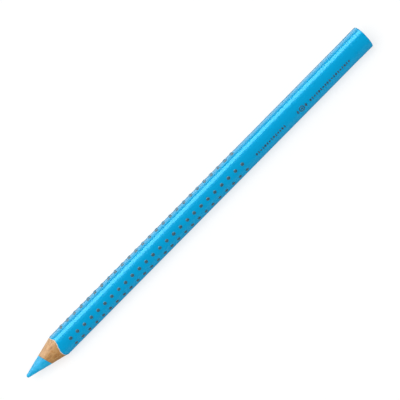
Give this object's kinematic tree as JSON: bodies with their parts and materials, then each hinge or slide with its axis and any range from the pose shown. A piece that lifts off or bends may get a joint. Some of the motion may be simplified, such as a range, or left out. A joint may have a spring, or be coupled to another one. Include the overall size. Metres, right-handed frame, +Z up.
{
  "type": "coloured pencil",
  "caption": "Thick three-sided wood-cased coloured pencil, sharpened, with rows of raised grip dots and a dipped rear end.",
  "frame": {"origin": "below the middle of the pencil, on the surface it lies on: the centre of the bottom of its bounding box", "axes": "+X along the pencil from the writing tip to the rear end, +Z up through a corner of the three-sided barrel, +Y to the side away from the foil decoration"},
  "size_m": [0.175, 0.0096, 0.0095],
  "materials": {
    "core": "matte",
    "glue": "satin",
    "cedar_upper": "matte",
    "cedar_lower": "matte",
    "undercoat": "matte",
    "lacquer": "gloss",
    "dip": "gloss",
    "dots": "matte",
    "foil": "satin"
  },
  "bodies": {
    "root": {"pigment_core": "core", "core_glue": "glue", "upper_slat": "cedar_upper", "lower_slat": "cedar_lower", "glue_seam_front": "glue", "glue_seam_back": "glue", "undercoat": "undercoat", "colour_lacquer": "lacquer", "end_dip": "dip", "dots_front_upper": "dots", "dots_front_lower": "dots", "dots_back_upper": "dots", "dots_back_lower": "dots", "dots_bottom_front": "dots", "dots_bottom_back": "dots", "foil_marks_front": "foil", "foil_rosette": "foil", "foil_marks_rear": "foil"}
  },
  "joints": []
}
